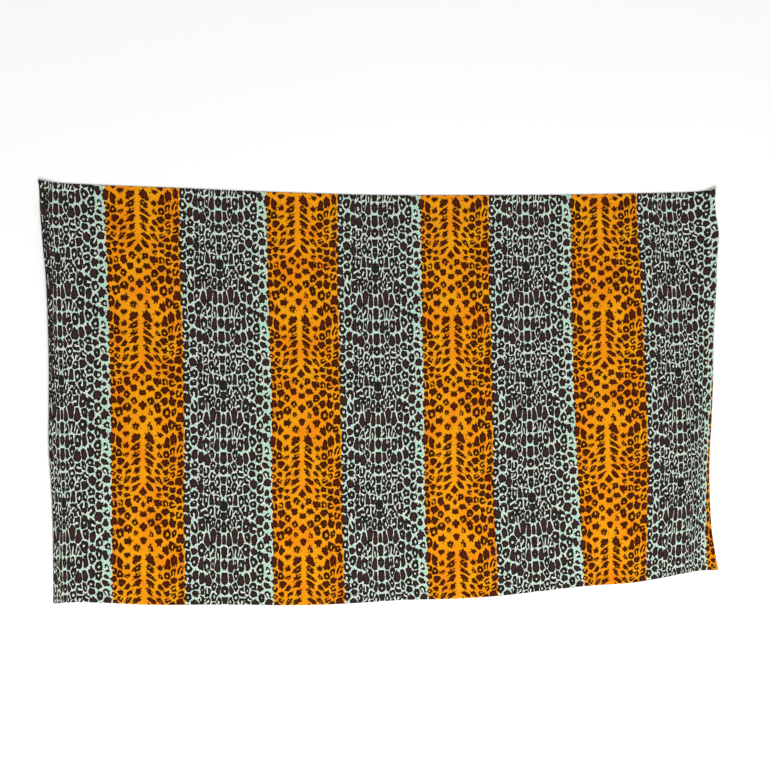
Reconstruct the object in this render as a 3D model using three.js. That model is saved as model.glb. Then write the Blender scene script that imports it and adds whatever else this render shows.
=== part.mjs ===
// A sarong: one oblong of thin printed cotton with a narrow turned hem on each edge,
// spread out on a surface with its print side up.
// Millimetres. X runs along the long edges, Y across the cloth, +Z up from the surface it lies on.
// The origin is on that surface, under the centre of the cloth's bounding box.

import * as THREE from "three";

// ---------- driving dimensions ----------

const CLOTH_WALL = 1.5;        // the panel's wall
const HEM_WALL = 1.2;          // the turned-under layer of a hem
const SEAM_GAP = 0.3;          // between a hem and the cloth over it
const HEM_DEPTH = 11;          // how far a long edge is turned under
const SIDE_HEM_DEPTH = 16;     // how far a short edge is turned under
const LIP_RUN = 26;            // how soon the cloth comes down to the surface beside a hem
const CORNER_CLEARANCE = 34;   // from a short edge to the ends of the long edges' hems
const SIDE_HEM_INSET = CLOTH_WALL + 1;   // from a short edge to its hem, clear of the roll's wall

// The folds die away towards the edges and at their own ends.
const FOLDS_CLEAR = 20;        // no fold lifts the cloth nearer to an edge than this
const FADE_SHORT = 20;         // further in, they come up over this much beside a short edge
const FADE_LONG = 30;          // and over this much beside a long one
const FOLD_END = 0.25;         // the share of a fold's length that each of its ends takes

// The four edges as they lie. The long ones sag and bulge between the corners, and
// the two corners on +Y are pulled out to small points. Left to right:
const TOP_EDGE = [
  { x: -926.5, y: 564.5 },
  { x: -908.5, y: 560 },
  { x: -870.5, y: 556 },
  { x: -760.5, y: 551.5 },
  { x: -570.5, y: 546 },
  { x: -415.5, y: 540.5 },
  { x: -257.5, y: 536.5 },
  { x: -47.5, y: 532.5 },
  { x: 150.5, y: 534 },
  { x: 432.5, y: 537.5 },
  { x: 576.5, y: 541 },
  { x: 753.5, y: 546 },
  { x: 842.5, y: 549.5 },
  { x: 893.5, y: 554.5 },
  { x: 921.5, y: 564.5 },
];
const BOTTOM_EDGE = [
  { x: -909.5, y: -522.5 },
  { x: -855.5, y: -522.5 },
  { x: -781.5, y: -528 },
  { x: -667.5, y: -539 },
  { x: -475.5, y: -548.5 },
  { x: -278.5, y: -560.5 },
  { x: -157.5, y: -562.5 },
  { x: 5.5, y: -561 },
  { x: 129.5, y: -564.5 },
  { x: 255.5, y: -563.5 },
  { x: 382.5, y: -556.5 },
  { x: 512.5, y: -548.5 },
  { x: 643.5, y: -546 },
  { x: 733.5, y: -537 },
  { x: 822.5, y: -524.5 },
  { x: 867.5, y: -520.5 },
  { x: 906.5, y: -522 },
];
// Bottom to top:
const LEFT_EDGE = [
  { x: -909.5, y: -522.5 },
  { x: -908.5, y: -488.5 },
  { x: -906.5, y: -334.5 },
  { x: -908.5, y: -219.5 },
  { x: -912.5, y: -129.5 },
  { x: -911, y: -26.5 },
  { x: -908.5, y: 101.5 },
  { x: -911.5, y: 306.5 },
  { x: -917.5, y: 396.5 },
  { x: -922.5, y: 486.5 },
  { x: -924, y: 541.5 },
  { x: -926.5, y: 564.5 },
];
const RIGHT_EDGE = [
  { x: 906.5, y: -522 },
  { x: 895.5, y: -451.5 },
  { x: 889.5, y: -407.5 },
  { x: 886.5, y: -351.5 },
  { x: 885, y: -280.5 },
  { x: 887, y: -195.5 },
  { x: 893.5, y: -110.5 },
  { x: 900.5, y: 3.5 },
  { x: 903.5, y: 102.5 },
  { x: 908.5, y: 186.5 },
  { x: 915.5, y: 271.5 },
  { x: 919.5, y: 357.5 },
  { x: 926.5, y: 436.5 },
  { x: 919.5, y: 484.5 },
  { x: 917.5, y: 527.5 },
  { x: 921.5, y: 564.5 },
];

// The short edges roll over before they are turned under: the roll's radius, and how
// far inward the cloth takes to come down from it. From the bottom up, over the height.
const LEFT_ROLL = [
  { at: 0.0, radius: 5, run: 60 },
  { at: 0.12, radius: 9, run: 70 },
  { at: 0.38, radius: 11, run: 85 },
  { at: 0.55, radius: 14, run: 90 },
  { at: 0.72, radius: 16, run: 85 },
  { at: 0.9, radius: 13, run: 75 },
  { at: 1.0, radius: 5, run: 60 },
];
const RIGHT_ROLL = [
  { at: 0.0, radius: 4.5, run: 60 },
  { at: 0.15, radius: 6, run: 65 },
  { at: 0.35, radius: 8, run: 60 },
  { at: 0.6, radius: 11, run: 55 },
  { at: 0.8, radius: 12, run: 60 },
  { at: 1.0, radius: 5, run: 60 },
];

// The main folds: soft ridges from one point to the other, with half the width given.
const FOLDS = [
  { fromX: -850.5, fromY: 520.5, toX: -564.5, toY: 234.5, height: 7, halfWidth: 52 },
  { fromX: -756.5, fromY: 222.5, toX: -556.5, toY: -83.5, height: 4.5, halfWidth: 58 },
  { fromX: -705.5, fromY: 68.5, toX: -718.5, toY: -491.5, height: 4, halfWidth: 46 },
  { fromX: -600.5, fromY: -101.5, toX: -608.5, toY: -411.5, height: 3, halfWidth: 42 },
  { fromX: -358.5, fromY: 7.5, toX: 301.5, toY: 5.5, height: 2.5, halfWidth: 40 },
  { fromX: 829.5, fromY: 508.5, toX: 467.5, toY: 74.5, height: 6, halfWidth: 56 },
  { fromX: 859.5, fromY: 494.5, toX: 849.5, toY: -61.5, height: 9, halfWidth: 24 },
  { fromX: 857.5, fromY: 68.5, toX: 843.5, toY: -391.5, height: 8, halfWidth: 22 },
  { fromX: 111.5, fromY: 428.5, toX: 87.5, toY: 128.5, height: 2.5, halfWidth: 60 },
];

// How finely the panel is divided: cells across bands of its width and of its height.
const ROLL_CELLS = 4;
const COLUMN_BANDS = [
  { to: 0.05, cells: 7 },
  { to: 0.94, cells: 46 },
  { to: 1.0, cells: 8 },
];
const ROW_BANDS = [
  { to: 0.024, cells: 3 },
  { to: 0.976, cells: 30 },
  { to: 1.0, cells: 3 },
];
const HEM_SECTIONS = 44;

// ---------- curves and ramps ----------

const smooth = (t) => {
  const k = Math.min(Math.max(t, 0), 1);
  return k * k * (3 - 2 * k);
};

function edgeCurve(rows) {
  const points = rows.map((row) => new THREE.Vector3(row.x, row.y, 0));
  return new THREE.CatmullRomCurve3(points, false, "centripetal");
}

const topCurve = edgeCurve(TOP_EDGE);
const bottomCurve = edgeCurve(BOTTOM_EDGE);
const leftCurve = edgeCurve(LEFT_EDGE);
const rightCurve = edgeCurve(RIGHT_EDGE);

// A roll's values at a height, eased between the rows of its table.
function rollAt(rows, at) {
  let k = 0;
  while (k < rows.length - 2 && rows[k + 1].at < at) {
    k += 1;
  }
  const a = rows[k];
  const b = rows[k + 1];
  const t = smooth((at - a.at) / (b.at - a.at));
  return {
    radius: a.radius + (b.radius - a.radius) * t,
    run: a.run + (b.run - a.run) * t,
  };
}

// Places that divide 0 to 1 into the bands' cells.
function divide(bands) {
  const places = [0];
  let from = 0;
  for (const band of bands) {
    for (let k = 1; k <= band.cells; k += 1) {
      places.push(from + ((band.to - from) * k) / band.cells);
    }
    from = band.to;
  }
  return places;
}

// ---------- the cloth's surface ----------

// The flat place of a point of the cloth: a patch blended between the four edges.
function flatPlace(across, up) {
  const bottom = bottomCurve.getPointAt(across);
  const top = topCurve.getPointAt(across);
  const left = leftCurve.getPointAt(up);
  const right = rightCurve.getPointAt(up);
  const place = new THREE.Vector3();
  place.addScaledVector(bottom, 1 - up).addScaledVector(top, up);
  place.addScaledVector(left, 1 - across).addScaledVector(right, across);
  place.addScaledVector(bottomCurve.getPointAt(0), -(1 - across) * (1 - up));
  place.addScaledVector(bottomCurve.getPointAt(1), -across * (1 - up));
  place.addScaledVector(topCurve.getPointAt(0), -(1 - across) * up);
  place.addScaledVector(topCurve.getPointAt(1), -across * up);
  return place;
}

// How high one fold lifts the cloth at a place.
function foldHeight(fold, x, y) {
  const alongX = fold.toX - fold.fromX;
  const alongY = fold.toY - fold.fromY;
  const length = Math.hypot(alongX, alongY);
  const along = ((x - fold.fromX) * alongX + (y - fold.fromY) * alongY) / (length * length);
  const aside = Math.abs((x - fold.fromX) * alongY - (y - fold.fromY) * alongX) / length;
  if (along <= 0 || along >= 1 || aside >= fold.halfWidth) {
    return 0;
  }
  const ridge = 0.5 + 0.5 * Math.cos((Math.PI * aside) / fold.halfWidth);
  const ends = smooth(along / FOLD_END) * smooth((1 - along) / FOLD_END);
  return fold.height * ridge * ends;
}

const foldsAt = (x, y) => FOLDS.reduce((sum, fold) => sum + foldHeight(fold, x, y), 0);

// The height of the printed face over a flat part of the cloth, away from the rolls:
// it lies on the surface, lifted by the folds and by the hem under each long edge.
function faceHeight(place, fromShortEdge, fromLongEdge) {
  const pastHem = (fromLongEdge - HEM_DEPTH) / (LIP_RUN - HEM_DEPTH);
  const lip = (HEM_WALL + SEAM_GAP) * (1 - smooth(pastHem));
  const lipStart = smooth(fromShortEdge / CORNER_CLEARANCE);
  const fromSides = smooth((fromShortEdge - FOLDS_CLEAR) / FADE_SHORT);
  const fromHems = smooth((fromLongEdge - FOLDS_CLEAR) / FADE_LONG);
  return CLOTH_WALL + lip * lipStart + foldsAt(place.x, place.y) * fromSides * fromHems;
}

// One row of face points, from the left short edge to the right one.
function faceRow(up, columns) {
  const leftEnd = flatPlace(0, up);
  const rightEnd = flatPlace(1, up);
  const rowLength = leftEnd.distanceTo(rightEnd);
  const height = flatPlace(0.5, 1).y - flatPlace(0.5, 0).y;
  const fromLongEdge = Math.min(up, 1 - up) * height;
  const left = rollAt(LEFT_ROLL, up);
  const right = rollAt(RIGHT_ROLL, up);
  const points = [];

  const rollPoint = (roll, angle, side) => {
    const inward = roll.radius * (1 - Math.cos(angle));
    const across = side < 0 ? inward / rowLength : 1 - inward / rowLength;
    const place = flatPlace(across, up);
    place.z = roll.radius * Math.sin(angle);
    return place;
  };
  const comeDown = (roll, fromEdge) => {
    const t = Math.min((fromEdge - roll.radius) / roll.run, 1);
    return (roll.radius - CLOTH_WALL) * (0.5 + 0.5 * Math.cos(Math.PI * t));
  };

  for (let k = 0; k < ROLL_CELLS; k += 1) {
    points.push(rollPoint(left, ((Math.PI / 2) * k) / ROLL_CELLS, -1));
  }
  const first = left.radius / rowLength;
  const last = 1 - right.radius / rowLength;
  for (const column of columns) {
    const across = first + (last - first) * column;
    const place = flatPlace(across, up);
    const fromLeft = across * rowLength;
    const fromRight = (1 - across) * rowLength;
    place.z = faceHeight(place, Math.min(fromLeft, fromRight), fromLongEdge);
    place.z += comeDown(left, fromLeft) + comeDown(right, fromRight);
    points.push(place);
  }
  for (let k = ROLL_CELLS - 1; k >= 0; k -= 1) {
    points.push(rollPoint(right, ((Math.PI / 2) * k) / ROLL_CELLS, 1));
  }
  return points;
}

// ---------- the panel ----------

// The way out of the face at a point, from its neighbours in the rows and columns.
function faceNormal(rows, j, i) {
  const row = rows[j];
  const before = row[Math.max(i - 1, 0)];
  const after = row[Math.min(i + 1, row.length - 1)];
  const below = rows[Math.max(j - 1, 0)][i];
  const above = rows[Math.min(j + 1, rows.length - 1)][i];
  const across = after.clone().sub(before);
  const upward = above.clone().sub(below);
  const normal = across.cross(upward).normalize();
  const atRim = i === 0 || i === row.length - 1;
  if (atRim) {
    normal.z = 0;
    normal.normalize();
  }
  return normal;
}

function panelGeometry() {
  const columns = divide(COLUMN_BANDS);
  const faces = divide(ROW_BANDS).map((up) => faceRow(up, columns));
  const rows = faces.length;
  const across = faces[0].length;
  const positions = [];
  for (const row of faces) {
    for (const point of row) {
      positions.push(point.x, point.y, point.z);
    }
  }
  for (let j = 0; j < rows; j += 1) {
    for (let i = 0; i < across; i += 1) {
      const under = faces[j][i].clone().addScaledVector(faceNormal(faces, j, i), -CLOTH_WALL);
      positions.push(under.x, under.y, Math.max(under.z, 0));
    }
  }
  const face = (j, i) => j * across + i;
  const under = (j, i) => rows * across + face(j, i);
  const index = [];
  const quad = (a, b, c, d) => index.push(a, b, c, a, c, d);
  for (let j = 0; j < rows - 1; j += 1) {
    for (let i = 0; i < across - 1; i += 1) {
      quad(face(j, i), face(j, i + 1), face(j + 1, i + 1), face(j + 1, i));
      quad(under(j, i), under(j + 1, i), under(j + 1, i + 1), under(j, i + 1));
    }
  }
  for (let i = 0; i < across - 1; i += 1) {
    quad(under(0, i), under(0, i + 1), face(0, i + 1), face(0, i));
    quad(face(rows - 1, i), face(rows - 1, i + 1), under(rows - 1, i + 1), under(rows - 1, i));
  }
  for (let j = 0; j < rows - 1; j += 1) {
    quad(under(j, 0), face(j, 0), face(j + 1, 0), under(j + 1, 0));
    quad(face(j, across - 1), under(j, across - 1), under(j + 1, across - 1), face(j + 1, across - 1));
  }
  const geometry = new THREE.BufferGeometry();
  geometry.setAttribute("position", new THREE.Float32BufferAttribute(positions, 3));
  geometry.setIndex(index);
  return geometry;
}

// ---------- the hems ----------

// A flat strip between two lines of places. Looking along the lines, the second is on the right.
function stripGeometry(leftLine, rightLine) {
  const positions = [];
  for (const z of [0, HEM_WALL]) {
    for (const line of [leftLine, rightLine]) {
      line.forEach((point) => positions.push(point.x, point.y, z));
    }
  }
  const count = leftLine.length;
  const at = (top, right, k) => (top * 2 + right) * count + k;
  const index = [];
  const quad = (a, b, c, d) => index.push(a, b, c, a, c, d);
  for (let k = 0; k < count - 1; k += 1) {
    quad(at(1, 0, k), at(1, 1, k), at(1, 1, k + 1), at(1, 0, k + 1));
    quad(at(0, 0, k), at(0, 0, k + 1), at(0, 1, k + 1), at(0, 1, k));
    quad(at(0, 0, k), at(1, 0, k), at(1, 0, k + 1), at(0, 0, k + 1));
    quad(at(0, 1, k), at(0, 1, k + 1), at(1, 1, k + 1), at(1, 1, k));
  }
  quad(at(0, 0, 0), at(0, 1, 0), at(1, 1, 0), at(1, 0, 0));
  const end = count - 1;
  quad(at(0, 0, end), at(1, 0, end), at(1, 1, end), at(0, 1, end));
  const geometry = new THREE.BufferGeometry();
  geometry.setAttribute("position", new THREE.Float32BufferAttribute(positions, 3));
  geometry.setIndex(index);
  return geometry;
}

// Places along an edge, each moved inward by the same step.
function alongEdge(place, inward) {
  return Array.from({ length: HEM_SECTIONS + 1 }, (_, k) => place(k / HEM_SECTIONS).add(inward));
}

function longHem(up, inwardY) {
  const cloth = flatPlace(0, up).distanceTo(flatPlace(1, up));
  const start = CORNER_CLEARANCE / cloth;
  const place = (t) => flatPlace(start + (1 - 2 * start) * t, up);
  const outer = alongEdge(place, new THREE.Vector3(0, 0, 0));
  const inner = alongEdge(place, new THREE.Vector3(0, inwardY * HEM_DEPTH, 0));
  return inwardY < 0 ? stripGeometry(outer, inner) : stripGeometry(inner, outer);
}

function shortHem(across, inwardX) {
  const cloth = flatPlace(across, 0).distanceTo(flatPlace(across, 1));
  const inset = SIDE_HEM_INSET / cloth;
  const place = (t) => flatPlace(across, inset + (1 - 2 * inset) * t);
  const outer = alongEdge(place, new THREE.Vector3(inwardX * SIDE_HEM_INSET, 0, 0));
  const inner = alongEdge(place, new THREE.Vector3(inwardX * (SIDE_HEM_INSET + SIDE_HEM_DEPTH), 0, 0));
  return inwardX < 0 ? stripGeometry(inner, outer) : stripGeometry(outer, inner);
}

// ---------- the sarong ----------

const PRINTED = { color: 0x96805a, roughness: 0.82, metalness: 0 };
const REVERSE = { color: 0xb9a98c, roughness: 0.86, metalness: 0 };

function piece(name, geometry, finish) {
  const mesh = new THREE.Mesh(geometry, new THREE.MeshStandardMaterial(finish));
  mesh.name = name;
  return mesh;
}

const group = new THREE.Group();
group.add(piece("panel", panelGeometry(), PRINTED));
group.add(piece("hem_top", longHem(1, -1), REVERSE));
group.add(piece("hem_bottom", longHem(0, 1), REVERSE));
group.add(piece("hem_left", shortHem(0, 1), REVERSE));
group.add(piece("hem_right", shortHem(1, -1), REVERSE));

export default group;
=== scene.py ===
import itertools
import math
import random
from functools import partial
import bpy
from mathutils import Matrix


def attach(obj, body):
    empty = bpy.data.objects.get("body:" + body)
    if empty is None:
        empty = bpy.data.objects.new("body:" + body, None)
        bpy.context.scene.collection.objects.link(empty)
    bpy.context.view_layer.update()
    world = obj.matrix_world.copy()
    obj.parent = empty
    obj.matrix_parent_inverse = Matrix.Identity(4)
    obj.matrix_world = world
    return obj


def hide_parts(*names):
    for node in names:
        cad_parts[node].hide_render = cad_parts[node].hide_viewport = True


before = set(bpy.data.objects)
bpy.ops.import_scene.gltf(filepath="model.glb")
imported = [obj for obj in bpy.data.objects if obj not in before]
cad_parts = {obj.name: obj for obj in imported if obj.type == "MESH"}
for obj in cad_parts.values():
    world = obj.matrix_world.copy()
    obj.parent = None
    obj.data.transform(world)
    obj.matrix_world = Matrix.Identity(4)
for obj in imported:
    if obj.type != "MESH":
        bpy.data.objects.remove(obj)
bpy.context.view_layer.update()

from types import SimpleNamespace

import bpy
import numpy as np
from mathutils import Matrix, Vector

# ------------------------------
# The panel: how it lies.
# One oblong of thin printed cotton, spread print side up. It sags between its two
# pulled corners, rolls over at both short edges, and keeps soft folds from handling.

MM = 0.001
SHEET = 1.0 * MM  # the shell's thickness
CLOTH_TALL = 1.090  # across the cloth, inside the hems
HEM_LAYER = 1.5 * MM  # how far a long edge's hem lifts the cloth
HEM_DEPTH = 11 * MM  # and how wide that hem is
LIP_RUN = 26 * MM  # how soon the cloth comes down beside a long edge
FOLD_RADIUS = 1.2 * MM  # a long edge's fold, round and under
NOSE = FOLD_RADIUS * math.pi  # the cloth that goes round it
ROLL_SUNK = 0.5 * MM  # how far the top of a roll is below its radius
ROLL_SPARE = math.pi / 2 - 1  # how much longer a quarter turn is than wide, in radii
FOLD_END = 0.25  # the share of a fold's length that each of its ends takes
FOLDS_CLEAR = 20 * MM  # no fold lifts the cloth nearer to an edge than this,
FADE_SHORT, FADE_LONG = 20 * MM, 30 * MM  # and it takes this far to come in

# The four edges in millimetres, as (x, y): the long ones left to right, the short ones upwards.
TOP_EDGE = [(-926.5, 564.5), (-908.5, 560), (-870.5, 556), (-760.5, 551.5), (-570.5, 546),
            (-415.5, 540.5), (-257.5, 536.5), (-47.5, 532.5), (150.5, 534), (432.5, 537.5),
            (576.5, 541), (753.5, 546), (842.5, 549.5), (893.5, 554.5), (921.5, 564.5)]
BOTTOM_EDGE = [(-909.5, -522.5), (-855.5, -522.5), (-781.5, -528), (-667.5, -539), (-475.5, -548.5),
               (-278.5, -560.5), (-157.5, -562.5), (5.5, -561), (129.5, -564.5), (255.5, -563.5),
               (382.5, -556.5), (512.5, -548.5), (643.5, -546), (733.5, -537), (822.5, -524.5),
               (867.5, -520.5), (906.5, -522)]
LEFT_EDGE = [(-909.5, -522.5), (-908.5, -488.5), (-906.5, -334.5), (-908.5, -219.5), (-912.5, -129.5),
             (-911, -26.5), (-908.5, 101.5), (-911.5, 306.5), (-917.5, 396.5), (-922.5, 486.5),
             (-924, 541.5), (-926.5, 564.5)]
RIGHT_EDGE = [(906.5, -522), (895.5, -451.5), (889.5, -407.5), (886.5, -351.5), (885, -280.5),
              (887, -195.5), (893.5, -110.5), (900.5, 3.5), (903.5, 102.5), (908.5, 186.5),
              (915.5, 271.5), (919.5, 357.5), (926.5, 436.5), (919.5, 484.5), (917.5, 527.5),
              (921.5, 564.5)]

# The rolls of the short edges, from the bottom up: (place, radius, run), sizes in millimetres.
LEFT_ROLL = [(0.0, 5, 60), (0.12, 9, 70), (0.38, 11, 85), (0.55, 14, 90), (0.72, 16, 85),
             (0.9, 13, 75), (1.0, 5, 60)]
RIGHT_ROLL = [(0.0, 4.5, 60), (0.15, 6, 65), (0.35, 8, 60), (0.6, 11, 55), (0.8, 12, 60),
              (1.0, 5, 60)]

# The folds: (from x, from y, to x, to y, height, half width), in millimetres.
FOLDS = [
    (-850.5, 520.5, -564.5, 234.5, 7, 52),
    (-756.5, 222.5, -556.5, -83.5, 4.5, 58),
    (-705.5, 68.5, -718.5, -491.5, 4, 46),
    (-600.5, -101.5, -608.5, -411.5, 3, 42),
    (-358.5, 7.5, 301.5, 5.5, 2.5, 40),
    (829.5, 508.5, 467.5, 74.5, 6, 56),
    (859.5, 494.5, 849.5, -61.5, 9, 24),
    (857.5, 68.5, 843.5, -391.5, 8, 22),
    (111.5, 428.5, 87.5, 128.5, 2.5, 60),
]


def smooth(t):
    k = np.clip(t, 0, 1)
    return k * k * (3 - 2 * k)


def edge_curve(points, per_span=24):
    """A smooth line through the points, as a function of the share of its length."""
    p = [Vector(q) * MM for q in points]
    p = [p[0] * 2 - p[1], *p, p[-1] * 2 - p[-2]]
    line = []
    for a, b, c, d in zip(p, p[1:], p[2:], p[3:]):
        before, here, after = ((n - m).length ** 0.5 for m, n in ((a, b), (b, c), (c, d)))
        leave = ((b - a) / before - (c - a) / (before + here) + (c - b) / here) * here
        arrive = ((c - b) / here - (d - b) / (here + after) + (d - c) / after) * here
        for k in range(per_span):
            t = k / per_span
            line.append(b * (2 * t**3 - 3 * t**2 + 1) + leave * (t**3 - 2 * t**2 + t)
                        + c * (3 * t**2 - 2 * t**3) + arrive * (t**3 - t**2))
    line = np.array([*line, p[-2]])
    steps = np.hypot(*np.diff(line, axis=0).T)
    along = np.concatenate([[0], np.cumsum(steps)]) / steps.sum()
    return lambda share: np.stack([np.interp(share, along, line[:, k]) for k in (0, 1)], axis=-1)


top_edge, bottom_edge, left_edge, right_edge = (
    edge_curve(points) for points in (TOP_EDGE, BOTTOM_EDGE, LEFT_EDGE, RIGHT_EDGE)
)


def flat_place(across, up):
    """A point of the cloth in plan: a patch blended between its four edges."""
    s, t = np.asarray(across)[..., None], np.asarray(up)[..., None]
    place = (1 - t) * bottom_edge(across) + t * top_edge(across)
    place = place + (1 - s) * left_edge(up) + s * right_edge(up)
    corners = (1 - s) * (1 - t) * bottom_edge(0.0) + s * (1 - t) * bottom_edge(1.0)
    return place - corners - (1 - s) * t * top_edge(0.0) - s * t * top_edge(1.0)


def roll_at(rows, up):
    """A roll's radius and run at a height, eased between the rows of its table."""
    places = np.array([row[0] for row in rows])
    k = np.clip(np.searchsorted(places, up) - 1, 0, len(rows) - 2)
    t = smooth((up - places[k]) / (places[k + 1] - places[k]))
    sizes = np.array([row[1:] for row in rows]) * MM
    both = sizes[k] + (sizes[k + 1] - sizes[k]) * t[..., None]
    return both[..., 0], both[..., 1]


def fold_height(fold, x, y):
    """How far one fold lifts the cloth at a place."""
    x0, y0, x1, y1, height, half_width = (value * MM for value in fold)
    length = math.hypot(x1 - x0, y1 - y0)
    along = ((x - x0) * (x1 - x0) + (y - y0) * (y1 - y0)) / length**2
    aside = np.abs((x - x0) * (y1 - y0) - (y - y0) * (x1 - x0)) / length
    ridge = 0.5 + 0.5 * np.cos(math.pi * np.clip(aside / half_width, 0, 1))
    return height * ridge * smooth(along / FOLD_END) * smooth((1 - along) / FOLD_END)


# Where the printed stripes lie, in millimetres: a row for each height (its share of the
# cloth), then x at each line between two grounds, and last at the print's u of 1650.
STRIPE_LINES = [0, 188, 415, 603, 830, 1018, 1245, 1433, 1650]
STRIPES_AT = [
    (0.04, -761, -576, -347, -158, 69, 264, 509, 692, 862),
    (0.27, -758, -574, -346, -161, 64, 255, 497, 705, 870),
    (0.50, -756, -568, -342, -158, 67, 259, 489, 702, 889),
    (0.75, -757, -571, -347, -160, 66, 256, 487, 692, 908),
    (0.96, -761, -572, -347, -158, 67, 257, 490, 682, 919),
]
PRINT_LEFT = -190 * MM  # the print at the left edge, squeezed over the roll
EASY_LEFT = -108 * MM  # and where that squeeze begins
EASY_RIGHT = 1563 * MM  # where the ripples at the right edge begin
EASED = 0.95  # how much of its width the print keeps up to there
RIM_LOW, RIM_HIGH = 1697 * MM, 1655 * MM  # the print at the right edge: it is cut askew

# Up the left edge, how far the selvedge shows from under it (or is hidden), in millimetres.
HIDDEN = 2.4
PEEK = [(0.04, -HIDDEN), (0.12, 2.2), (0.24, 2.6), (0.36, 3.4), (0.44, 2.4), (0.52, -HIDDEN)]
PEEK_LIFT = 1.2 * MM  # a roll stands this high on a hem that shows


def peek(up):
    return np.interp(up, *zip(*PEEK)) * MM


def print_rim(up):
    return RIM_LOW + (RIM_HIGH - RIM_LOW) * up


def unrolled(u, up, begins, ends):
    """How far along the cloth a point of the print is, as if the rolls lay flat."""
    heights, *columns = zip(*STRIPES_AT)
    lines = [np.interp(up, heights, column) * MM for column in columns]
    lines_u = [line * MM for line in STRIPE_LINES]
    eased = lines[-2] + (EASY_RIGHT - lines_u[-2]) * EASED
    knots_u = [PRINT_LEFT, EASY_LEFT, *lines_u[:-1], EASY_RIGHT, lines_u[-1], print_rim(up)]
    knots_x = [begins, lines[0] + EASY_LEFT, *lines[:-1], eased, lines[-1], ends]
    x = begins
    for a, b, xa, xb in zip(knots_u, knots_u[1:], knots_x, knots_x[1:]):
        x = x + (xb - xa) * np.clip((u - a) / (b - a), 0, 1)
    return x


def lie(u, v):
    """Where a point of the print is on the cloth as it lies: its printed face."""
    up = np.clip(v / CLOTH_TALL, 0, 1)
    left, right = left_edge(up)[..., 0], right_edge(up)[..., 0]
    left_radius, left_run = roll_at(LEFT_ROLL, up)
    right_radius, right_run = roll_at(RIGHT_ROLL, up)
    begins, ends = left - ROLL_SPARE * left_radius, right + ROLL_SPARE * right_radius
    x = unrolled(u, up, begins, ends)

    # The last quarter turn at each short edge.
    width = right - left
    across = (x - left) / width
    z = np.zeros_like(x)
    inside = np.ones_like(x, dtype=bool)
    for far, radius, side in ((x - begins, left_radius, -1), (ends - x, right_radius, 1)):
        rolled = far < radius * math.pi / 2
        angle = far / radius
        inward = radius * (1 - np.cos(angle)) / width
        across = np.where(rolled, inward if side < 0 else 1 - inward, across)
        lift = np.clip(peek(up) + HIDDEN * MM, 0, PEEK_LIFT) if side < 0 else 0
        z = np.where(rolled, lift + (radius - ROLL_SUNK - lift) * np.sin(angle), z)
        inside &= ~rolled

    # Between them the cloth comes down from the rolls and the hems, and the folds lift it.
    place = flat_place(across, up)
    from_left, from_right = across * width, (1 - across) * width
    from_short = np.minimum(from_left, from_right)
    from_long = np.minimum(up, 1 - up) * CLOTH_TALL
    face = SHEET + np.zeros_like(x)
    for far, radius, run in ((from_left, left_radius, left_run), (from_right, right_radius, right_run)):
        t = np.clip((far - radius) / run, 0, 1)
        face += (radius - (SHEET + ROLL_SUNK)) * (0.5 + 0.5 * np.cos(math.pi * t))
    face += HEM_LAYER * (1 - smooth((from_long - HEM_DEPTH) / (LIP_RUN - HEM_DEPTH)))
    calm = smooth((from_short - FOLDS_CLEAR) / FADE_SHORT) * smooth((from_long - FOLDS_CLEAR) / FADE_LONG)
    for fold in FOLDS:
        face += fold_height(fold, place[..., 0], place[..., 1]) * calm
    z = np.where(inside, face, z)

    # Past a long edge it goes round the fold.
    turned = np.clip(np.maximum(v - CLOTH_TALL, -v), 0, NOSE) / FOLD_RADIUS
    outward = np.where(up > 0.5, 1, -1) * FOLD_RADIUS
    y = place[..., 1] + outward * (np.sin(turned) - 1 + smooth(from_long / LIP_RUN))
    z = np.maximum(z - FOLD_RADIUS * (1 - np.cos(turned)), 0)
    return np.stack([place[..., 0], y, z], axis=-1)


def face_normal(u, v, step=0.4 * MM):
    """The way out of the printed face, from the places around a point."""
    rim = print_rim(np.clip(v / CLOTH_TALL, 0, 1))
    u_low, u_high = np.maximum(u - step, PRINT_LEFT), np.minimum(u + step, rim)
    v_low, v_high = np.maximum(v - step, -NOSE), np.minimum(v + step, CLOTH_TALL + NOSE)
    normal = np.cross(lie(u_high, v) - lie(u_low, v), lie(u, v_high) - lie(u, v_low))
    return normal / np.linalg.norm(normal, axis=-1)[..., None]


# ------------------------------
# The panel: its print.
# An animal print in orange and mint stripes, one repeat over and over. The halves of a
# repeat mirror each other in layout, about a clear spine in the orange and an axis in the mint.

REPEAT_WIDE, REPEAT_TALL = 0.415, 0.317
HALF_WIDE = REPEAT_WIDE / 2
SPINE = 0.081  # from an orange stripe's left line to its spine
CHEVRON_AT = 0.391  # how high up the cloth one band of chevrons is centred
CHEVRON_SLOPE = 0.78  # how much of ROW_DROP is printed
IN_BAND = 0.45  # chevron() is more than this within a band
# Columns of spots: how far from the spine, and how many to a repeat (few where they are long).
SPOT_COLUMNS = [(0.003, 12), (0.022, 12), (0.042, 12), (0.060, 12), (0.077, 13), (0.094, 13),
                (0.112, 11), (0.131, 11), (0.149, 10), (0.165, 10), (0.179, 10), (0.1925, 10),
                (0.2050, 10)]
CHEVRON_COLUMNS = 3  # this many next to the spine stand in step, the rest at random
ROWS_FROM = 0.145  # past this far from the spine, spots stand side by side in loose rows
ROW_PHASES = [0.15, 0.45, 0.3]  # of those columns by turns, in pitches
ASTRAY, ASIDE = 0.26, 3.6  # how far a spot is out of place: in pitches up, in millimetres aside
TIPS_IN = 7  # how far in the chevrons' tips may reach, in millimetres
WEIGHTS = -90, 50  # a spot's weight against its neighbours, in square millimetres
# How far rows of spots slope down, by the distance from the spine.
ROW_DROP = [(0.0, 0.0), (0.02, 0.02), (0.05, 0.043), (0.075, 0.036), (0.107, 0.018), (0.2075, 0.014)]
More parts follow.
